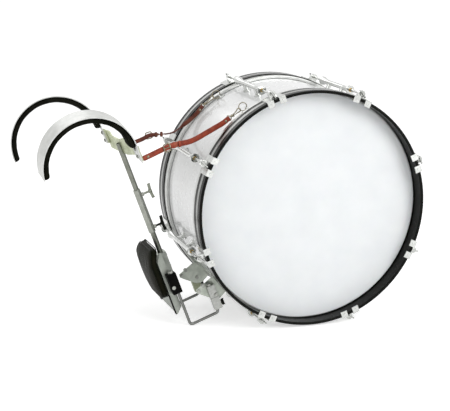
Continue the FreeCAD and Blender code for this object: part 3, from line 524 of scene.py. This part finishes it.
def makeBellyPad():
    depth, edge, gap = bellyPad["thickness"], bellyPad["edgeRound"], bellyPad["backGap"]
    rings = [padRing(gap, 3, share) for share in (0.2, 0.45, 0.7, 0.88)]  # the back, from its middle out
    rings.append(padRing(gap, 2.5))
    sideStart = depth * bellyPad["sideStart"]
    for k in range(6):  # round the side to the wearer's face
        t = math.radians(18 * k)
        rings.append(padRing(sideStart + (depth - sideStart - 1) * math.sin(t), edge * (1 - math.cos(t))))
    for share in (0.86, 0.66, 0.42, 0.18):  # the crowned face
        rings.append(padRing(depth - 1 + bellyPad["crown"] * (1 - share ** 3), edge, share))
    piece = newPiece("belly_pad_cover", *loft(rings))
    puffUp(piece)
    subdivided(piece)
    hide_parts("belly_pad")
    dress(piece, "vinyl", "root")
    makePadPiping()


def puffUp(piece):  # a short cloth run gives the cover its stuffed swell
    bpy.context.view_layer.objects.active = piece
    remesh = piece.modifiers.new("remesh", "REMESH")
    remesh.mode = "VOXEL"
    remesh.voxel_size = stuffing["voxel"] * mm
    depsgraph = bpy.context.evaluated_depsgraph_get()
    piece.data = bpy.data.meshes.new_from_object(piece.evaluated_get(depsgraph))
    piece.modifiers.clear()
    start = [v.co.copy() for v in piece.data.vertices]
    toPad = leanFrame.inverted()
    held = piece.vertex_groups.new(name="held")
    for v in piece.data.vertices:
        local = toPad @ v.co
        depth = bellyPad["back"] + padShift(local.z / mm) - local.x / mm
        held.add([v.index], 1.0 if depth < stuffing["heldDepth"] else 0.0, "REPLACE")
    cloth = piece.modifiers.new("cloth", "CLOTH")
    cloth.settings.use_pressure = True
    cloth.settings.uniform_pressure_force = stuffing["pressure"]
    cloth.settings.effector_weights.gravity = 0
    cloth.settings.vertex_group_mass = "held"
    cloth.settings.quality = stuffing["quality"]
    scene = bpy.context.scene
    for number in range(1, stuffing["frames"] + 1):
        scene.frame_set(number)
    depsgraph = bpy.context.evaluated_depsgraph_get()
    swollen = [v.co.copy() for v in piece.evaluated_get(depsgraph).data.vertices]
    scene.frame_set(1)
    piece.modifiers.clear()
    piece.vertex_groups.clear()
    cap = stuffing["mostSwell"] * mm
    for v, rest, now in zip(piece.data.vertices, start, swollen):
        move = now - rest
        v.co = rest + (move.normalized() * cap if move.length > cap else move)
    for polygon in piece.data.polygons:
        polygon.use_smooth = True


def makePadPiping():
    outline = padOutline(padPiping["inset"], 7, 8)
    for name, depth in padPiping["depths"].items():
        path = [padPoint(depth, p.x, p.y) for p in outline]
        piping = newPiece(name, *tube(path, padPiping["radius"] * mm, 8, True))
        dress(subdivided(piping), "piping", "root")


makeBellyPad()
print("belly pad stuffed")


# Safety straps: leather on edge, split at the buckle so that each half crosses one joint
straps = {
    "near": {"finish": "redLeather", "buckleX": -384, "width": 14.5, "thickness": 3.2, "side": -1,
             "flat": None,
             "route": [(-447, -131, 150), (-412, -130, 164), (-376, -129, 179), (-353, -128, 183),
                       (-315, -125, 187), (-278, -122, 205), (-253, -120, 217), (-226, -118, 230),
                       (-208, -116, 243)]},
    # the far strap takes the red leather darkened with painted shade
    "far": {"finish": "shadedRedLeather", "buckleX": -365, "width": 12.0, "thickness": 3.0, "side": 1,
            "flat": (-335, -285),
            "route": [(-475.9, 131.6, 158.6), (-468.4, 130.8, 161.3), (-455, 127, 150), (-438, 123, 137),
                      (-410, 120, 146), (-378, 119, 157), (-365, 118, 165), (-347, 118, 166),
                      (-299, 118, 167), (-278, 117, 180), (-252, 116, 199), (-230, 115, 217),
                      (-210, 115, 241)]},
}
strapTrim = {"step": 5, "stitchPitch": 4.2, "stitchLength": 2.6, "stitchRadius": 0.42, "stitchInset": 1.9,
             "stitchRise": 0.22, "tailLength": 46.0, "tailThickness": 2.4, "tailGap": 1.3, "foldSpare": 3.0,
             "foldStations": 7, "keeperWidth": 6.0, "keeperWire": 1.1, "keeperSpare": 3.4,
             "keeperSteps": (4, 7), "rivetRadius": 3.4, "rivetHeight": 1.5, "twistRun": 25, "twist": 86}
buckleTrim = {"length": 17.0, "wire": 1.5, "spare": 3.0, "corner": 0.24, "lift": 3.6, "tongue": 1.15,
              "roller": 2.1}
tailPoint = (0.35, 0.72, 0.9, 0.98)  # the tail's width at its last stations, as a share


def strapAxes(points, i, flat=None):  # along, up and across at one station; the strap stands on edge
    along = points[min(i + 1, len(points) - 1)] - points[max(i - 1, 0)]
    along.y *= 0.5
    along.normalize()
    across = Vector((0, 1, 0))
    across = (across - along * across.dot(along)).normalized()
    up = across.cross(along)
    if flat:  # a half twist lays the strap flat between two places on its route
        x = (points[i].x - drumCentre.x) / mm
        start, end = flat
        run = strapTrim["twistRun"]
        share = max(0.0, min(1.0, (x - start) / run + 1, (end - x) / run + 1))
        turn = math.radians(strapTrim["twist"]) * share * share * (3 - 2 * share)
        cos, sin = math.cos(turn), math.sin(turn)
        up, across = up * cos + across * sin, across * cos - up * sin
    return along, up, across


def resampled(points, step):
    lengths = [0.0]
    for a, b in zip(points, points[1:]):
        lengths.append(lengths[-1] + (b - a).length)
    count = max(2, round(lengths[-1] / step))
    result = []
    k = 0
    for i in range(count + 1):
        want = lengths[-1] * i / count
        while k < len(lengths) - 2 and lengths[k + 1] < want:
            k += 1
        share = (want - lengths[k]) / max(lengths[k + 1] - lengths[k], 1e-9)
        result.append(points[k].lerp(points[k + 1], share))
    return result


def ribbon(points, width, thickness, shift=0.0, pointed=False, flat=None):
    corner = thickness * 0.32
    halfW, halfT = width / 2, thickness / 2
    shape = [(-halfW, -halfT + corner), (-halfW + corner, -halfT), (halfW - corner, -halfT),
             (halfW, -halfT + corner), (halfW, halfT - corner), (halfW - corner, halfT),
             (-halfW + corner, halfT), (-halfW, halfT - corner)]
    sections = []
    for i, point in enumerate(points):
        along, up, across = strapAxes(points, i, flat)
        wave = 0.35 * mm * math.sin(i * 0.9) + 0.25 * mm * math.sin(i * 2.3)
        fromEnd = len(points) - 1 - i
        narrow = tailPoint[fromEnd] if pointed and fromEnd < len(tailPoint) else 1.0
        sections.append([point + up * (h * narrow * mm) + across * ((t + shift) * mm + wave)
                         for h, t in shape])
    return loft(sections)


def stitches(points, width, thickness, flat=None):  # two rows of thread on both faces
    parts = []
    run = resampled(points, strapTrim["stitchPitch"] * mm)
    half = strapTrim["stitchLength"] * mm / 2
    for i in range(1, len(run) - 1):
        along, up, across = strapAxes(run, i, flat)
        for row in (-1, 1):
            height = row * (width / 2 - strapTrim["stitchInset"]) * mm
            for face in (-1, 1):
                middle = run[i] + up * height + across * (face * thickness / 2 * mm)
                crest = middle + across * (face * strapTrim["stitchRise"] * mm)
                path = [middle - along * half, crest, middle + along * half]
                parts.append(tube(path, strapTrim["stitchRadius"] * mm, 5))
    return joined(parts)


def rivetHead(centre, direction, radius, height, sides=20):
    direction = direction.normalized()
    side = direction.orthogonal().normalized()
    up = direction.cross(side)
    turns = [math.tau * k / sides for k in range(sides)]
    rings = []
    for share, lift in ((1.0, 0.0), (1.0, 0.55), (0.86, 0.85), (0.5, 1.0), (0.12, 1.04)):
        middle = centre + direction * (height * lift)
        rings.append([middle + (side * math.cos(t) + up * math.sin(t)) * radius * share for t in turns])
    return loft(rings)


# A leather loop round the strap, with rounded corners
def loopAround(point, along, up, across, width, thickness, length, wire):
    halfW, halfT = (width / 2 + wire) * mm, (thickness / 2 + wire) * mm
    corners = []
    for h, t in ((-1, -1), (1, -1), (1, 1), (-1, 1)):
        corners.append(point + up * (halfW * h) + across * (halfT * t))
    ring = []
    for i, corner in enumerate(corners):
        before, after = corners[i - 1], corners[(i + 1) % 4]
        for target in (before, after):
            reach = min(1.6 * mm, (target - corner).length * 0.4)
            ring.append(corner + (target - corner).normalized() * reach)
    half = along * (length * mm / 2)
    skin = [[p + half * e for p in ring] for e in (-1, -0.6, 0.6, 1)]
    inner = [[point + (p - point) * 0.86 + half * e for p in ring] for e in (1, 0.6, -0.6, -1)]
    return loft(skin + inner, closed=True)


def makeStrap(side):
    strap = straps[side]
    route = [drumCentre + Vector(p) * mm for p in strap["route"]]
    points = resampled(rounded(route, 3), strapTrim["step"] * mm)
    buckleAt = drumCentre.x + strap["buckleX"] * mm
    split = min(range(len(points)), key=lambda i: abs(points[i].x - buckleAt))
    width, thickness, flat = strap["width"], strap["thickness"], strap["flat"]
    yokePoints, drumPoints = points[:split + 2], points[split - 1:]
    yokePart = newPiece(side + "_strap_yoke_end", *ribbon(yokePoints, width, thickness, flat=flat))
    drumPart = newPiece(side + "_strap_drum_end", *ribbon(drumPoints, width, thickness, flat=flat))
    tailCount = round(strapTrim["tailLength"] / strapTrim["step"])
    outward = strap["side"] * (thickness * 0.5 + strapTrim["tailGap"])
    tailPoints = points[split - 2:split - 2 + tailCount]
    tailShape = ribbon(tailPoints, width * 0.94, strapTrim["tailThickness"], outward, pointed=True)
    tail = newPiece(side + "_strap_tail", *tailShape)
    yokeThread = newPiece(side + "_yoke_end_thread", *stitches(yokePoints, width, thickness, flat))
    drumStitches = stitches(drumPoints[tailCount:], width, thickness, flat)
    drumThread = newPiece(side + "_drum_end_thread", *drumStitches)
    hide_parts(side + "_strap")
    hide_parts(side + "_strap")
    leather = strap["finish"]
    for piece, finishName in ((yokePart, leather), (yokeThread, "thread")):
        dressStrap(piece, finishName)
    for piece, finishName in ((drumPart, leather), (drumThread, "thread")):
        dressStrap(piece, finishName)
    makeBuckle(side, points, split, width, thickness, tail, leather)
    makeStrapEnds(side, points, width, thickness, leather)


def dressStrap(piece, finishName):
    if finishName != "thread":
        subdivided(piece)
    piece.data.materials.clear()
    piece.data.materials.append(materials[finishName])
    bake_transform(piece)


def makeBuckle(side, points, split, width, thickness, tail, leather):
    subdivided(tail)
    dress(tail, leather, "sleeve")
    along, up, across = strapAxes(points, split)
    outward = across * straps[side]["side"]
    hinge = points[split] + outward * (buckleTrim["lift"] * mm)
    halfL, halfW = buckleTrim["length"] / 2, width / 2 + buckleTrim["spare"]
    corners = [(-halfL, -halfW), (halfL, -halfW), (halfL, halfW), (-halfL, halfW)]
    cut = buckleTrim["corner"]
    ring = []
    for i, corner in enumerate(corners):
        before, after = corners[i - 1], corners[(i + 1) % 4]
        for k in range(5):
            t = k / 4
            a, h = [(1 - t) ** 2 * (c + (b - c) * cut) + 2 * t * (1 - t) * c + t * t * (c + (n - c) * cut)
                    for b, c, n in zip(before, corner, after)]
            ring.append(hinge + along * (a * mm) + up * (h * mm))
    frameWire = tube(ring, buckleTrim["wire"] * mm, 10, True)
    front = hinge + along * (halfL * mm)
    tip = front + along * mm + outward * (1.2 * mm)
    prong = [hinge - along * (halfL * mm), hinge + outward * (1.7 * mm), tip]
    tongue = tube(rounded(prong, 2), buckleTrim["tongue"] * mm, 8)
    half = up * (width / 2 * mm)
    roller = tube([front - half, front + half], buckleTrim["roller"] * mm, 14)
    buckle = newPiece(side + "_buckle", *joined([frameWire, tongue, roller]))
    dress(buckle, "strapBrass", "sleeve")
    makeKeepers(side, points, split, width, thickness, leather)


def makeKeepers(side, points, split, width, thickness, leather):
    for number, offset in enumerate(strapTrim["keeperSteps"], 1):
        i = min(split + offset, len(points) - 2)
        along, up, across = strapAxes(points, i)
        centre = points[i] + across * straps[side]["side"] * (0.9 * mm)
        loop = loopAround(centre, along, up, across, width, thickness + strapTrim["keeperSpare"],
                          strapTrim["keeperWidth"], strapTrim["keeperWire"])
        keeper = newPiece("%s_keeper_%d" % (side, number), *loop)
        dress(subdivided(keeper), leather, "sleeve")


def makeStrapEnds(side, points, width, thickness, leather):  # folded and riveted at each end
    count = strapTrim["foldStations"]
    for name, body, run in (("yoke", "yoke", points[:count]), ("drum", "root", points[-count:])):
        foldShape = ribbon(run, width * 0.97, thickness + strapTrim["foldSpare"])
        fold = newPiece("%s_strap_%s_fold" % (side, name), *foldShape)
        dress(subdivided(fold), leather, body)
        middle = count // 2
        across = strapAxes(run, middle)[2]
        rivets = []
        for face in (-1, 1):
            centre = run[middle] + across * (face * (thickness / 2 + 1.35) * mm)
            rivets.append(rivetHead(centre, across * face, strapTrim["rivetRadius"] * mm,
                                    strapTrim["rivetHeight"] * mm))
        rivet = newPiece("%s_strap_%s_rivets" % (side, name), *joined(rivets))
        dress(rivet, "strapBrass", body)


for side in straps:
    makeStrap(side)
print("straps cut, stitched and buckled")


# Split rings and snap hooks between the straps and the eyes on the shell
strapHardware = {"eyeAngle": 121.5, "eyeY": 115.0, "eyeBase": 2.0, "eyeLoop": 8.0, "eyeWire": 1.75,
                 "ringRadius": 11.0, "ringWire": 1.25, "clearance": 0.2, "ringLean": 50.0, "ringSteps": 96,
                 "loopWire": 1.3, "bowWire": 1.55, "bowRadius": 5.0, "gateWire": 1.3, "thumbWire": 1.1}
swivelShape = [(2.0, 2.2), (3.0, 3.6), (4.2, 3.9), (5.0, 2.6), (6.0, 2.4), (6.8, 3.8), (8.4, 4.2),
               (9.4, 3.0), (10.4, 1.8)]  # along the hook and radius, from the strap's end


def ringCentre(side):
    angle = math.radians(strapHardware["eyeAngle"])
    leanBack = math.radians(strapHardware["ringLean"])
    out = Vector((math.cos(angle), 0, math.sin(angle)))
    aside = Vector((-math.sin(angle), 0, math.cos(angle)))
    hold = strapHardware["eyeWire"] + strapHardware["clearance"] + strapHardware["ringWire"]
    pull = out * math.cos(leanBack) + aside * math.sin(leanBack)
    reach = shellRadius / mm + strapHardware["eyeBase"] + strapHardware["eyeLoop"]
    local = out * reach + pull * (strapHardware["ringRadius"] - hold)
    local.y = straps[side]["side"] * strapHardware["eyeY"]
    return drumCentre + local * mm


def arcPoints(centre, first, second, radius, start, end, count=18):  # round a centre, angles in degrees
    turns = [math.radians(start + (end - start) * k / count) for k in range(count + 1)]
    return [centre + (first * math.cos(t) + second * math.sin(t)) * (radius * mm) for t in turns]


def makeSnapHook(side):
    centre = ringCentre(side)
    end = drumCentre + Vector(straps[side]["route"][-1]) * mm
    heading = (centre - end).normalized()
    aside = Vector((0, 1, 0))
    aside = (aside - heading * aside.dot(heading)).normalized()
    upward = heading.cross(aside)
    radius, wire = strapHardware["ringRadius"], strapHardware["ringWire"]
    reach = (centre - end).length / mm - radius  # from the strap's end to the ring's wire

    def at(along):
        return end + heading * (along * mm)

    steps = strapHardware["ringSteps"]
    coil = []
    for k in range(steps + 1):  # two turns of flat-wound spring wire
        t = math.tau * 2 * k / steps
        lift = Vector((0, 1, 0)) * (wire * 0.9 * mm * (2 * k / steps - 1))
        coil.append(centre + Vector((math.cos(t), 0, math.sin(t))) * (radius * mm) + lift)
    parts = [tube(coil, wire * 0.86 * mm, 10)]
    half = straps[side]["width"] / 2
    places = [(-4, -half), (-1, -half), (2.5, -3), (3.5, 0), (2.5, 3), (-1, half), (-4, half)]
    loop = [at(along) + upward * (height * mm) for along, height in places]
    parts.append(tube(rounded(loop), strapHardware["loopWire"] * mm, 10, True))
    swivel = [arcPoints(at(along), upward, aside, size, 0, 337.5, 15) for along, size in swivelShape]
    parts.append(loft(swivel))
    bowMiddle = at(reach - 3.2)
    bow = [at(9.5)] + arcPoints(bowMiddle, heading, upward, strapHardware["bowRadius"], 150, -130)
    parts.append(tube(rounded(bow, 1), strapHardware["bowWire"] * mm, 10))
    gateEnd = bowMiddle + heading * (-3.2 * mm) - upward * (3.8 * mm)
    parts.append(tube([at(8.6) - upward * (2.4 * mm), gateEnd], strapHardware["gateWire"] * mm, 10))
    thumb = at(10.8) - upward * (3.4 * mm)
    parts.append(tube([thumb, thumb - upward * (2.6 * mm)], strapHardware["thumbWire"] * mm, 8))
    hook = newPiece(side + "_snap_hook", *joined(parts))
    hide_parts("strap_fittings")
    dress(hook, "strapBrass", "root")


for side in straps:
    makeSnapHook(side)
print("rings and snap hooks hung")


# Studio: white floor, soft light and the photograph's camera
studio = {"floorWhite": 0.82, "floorHalf": 30, "floorGlow": 0.52, "worldLight": 0.6}
lamps = {
    "key light": {"place": (1.7, -3.2, 2.2), "size": 2.4, "power": 74},
    "fill light": {"place": (-2.8, -1.4, 1.8), "size": 2.2, "power": 14},
    "rim light": {"place": (-0.6, 2.6, 2.4), "size": 2.0, "power": 14},
}
photoCamera = {"azimuth": -20.521, "elevation": 12.287, "distance": 3957.3, "yaw": 2.588, "pitch": 0.451,
               "lens": 114.7, "sensor": 36}


def seenDirectly(tree):  # 1 on rays that show the floor or the sky itself
    path = tree.nodes.new("ShaderNodeLightPath")
    total = path.outputs["Is Camera Ray"]
    for name in ("Is Glossy Ray", "Is Transmission Ray"):
        plus = tree.nodes.new("ShaderNodeMath")
        plus.operation = "MAXIMUM"
        tree.links.new(total, plus.inputs[0])
        tree.links.new(path.outputs[name], plus.inputs[1])
        total = plus.outputs["Value"]
    return total


def makeFloor():
    half = studio["floorHalf"]
    corners = [(-half, -half, 0), (half, -half, 0), (half, half, 0), (-half, half, 0)]
    floor = newPiece("studio_floor", corners, [(0, 1, 2, 3)])
    material = bpy.data.materials.new("studio floor")
    material.use_nodes = True
    tree = material.node_tree
    shader = tree.nodes["Principled BSDF"]
    white = studio["floorWhite"]
    shader.inputs["Base Color"].default_value = (white, white, white, 1)
    shader.inputs["Roughness"].default_value = 0.9
    shader.inputs["Emission Color"].default_value = (1, 1, 1, 1)
    glow = tree.nodes.new("ShaderNodeMath")
    glow.operation = "MULTIPLY"
    glow.inputs[1].default_value = studio["floorGlow"]
    tree.links.new(seenDirectly(tree), glow.inputs[0])
    tree.links.new(glow.outputs["Value"], shader.inputs["Emission Strength"])
    floor.data.materials.append(material)


def makeWorld():
    world = bpy.data.worlds.new("studio")
    world.use_nodes = True
    tree = world.node_tree
    background = tree.nodes["Background"]
    background.inputs["Color"].default_value = (1, 1, 1, 1)
    spread = tree.nodes.new("ShaderNodeMapRange")
    spread.inputs["To Min"].default_value = studio["worldLight"]
    spread.inputs["To Max"].default_value = 1.0
    tree.links.new(seenDirectly(tree), spread.inputs["Value"])
    tree.links.new(spread.outputs["Result"], background.inputs["Strength"])
    bpy.context.scene.world = world


def makeLamp(name):
    lamp = bpy.data.lights.new(name, "AREA")
    lamp.shape = "DISK"
    lamp.size = lamps[name]["size"]
    lamp.energy = lamps[name]["power"]
    holder = bpy.data.objects.new(name, lamp)
    place = Vector(lamps[name]["place"])
    holder.location = place
    holder.rotation_euler = (drumCentre - place).to_track_quat("-Z", "Y").to_euler()
    bpy.context.collection.objects.link(holder)


def towardsCamera(azimuth, elevation):
    level = math.cos(elevation)
    return Vector((math.sin(azimuth) * level, -math.cos(azimuth) * level, math.sin(elevation)))


def makeCamera():
    azimuth, elevation = math.radians(photoCamera["azimuth"]), math.radians(photoCamera["elevation"])
    away = towardsCamera(azimuth, elevation)
    azimuth += math.radians(photoCamera["yaw"])
    elevation += math.radians(photoCamera["pitch"])
    back = towardsCamera(azimuth, elevation)
    right = Vector((math.cos(azimuth), math.sin(azimuth), 0))
    data = bpy.data.cameras.new("photo camera")
    data.lens = photoCamera["lens"]
    data.sensor_width = photoCamera["sensor"]
    data.sensor_fit = "HORIZONTAL"
    holder = bpy.data.objects.new("photo camera", data)
    turned = Matrix((right, back.cross(right), back)).transposed().to_4x4()
    holder.matrix_world = Matrix.Translation(drumCentre + away * (photoCamera["distance"] * mm)) @ turned
    bpy.context.collection.objects.link(holder)
    bpy.context.scene.camera = holder


makeFloor()
makeWorld()
for name in lamps:
    makeLamp(name)
makeCamera()
bpy.context.scene.view_settings.view_transform = "Standard"
print("studio lit, camera placed")
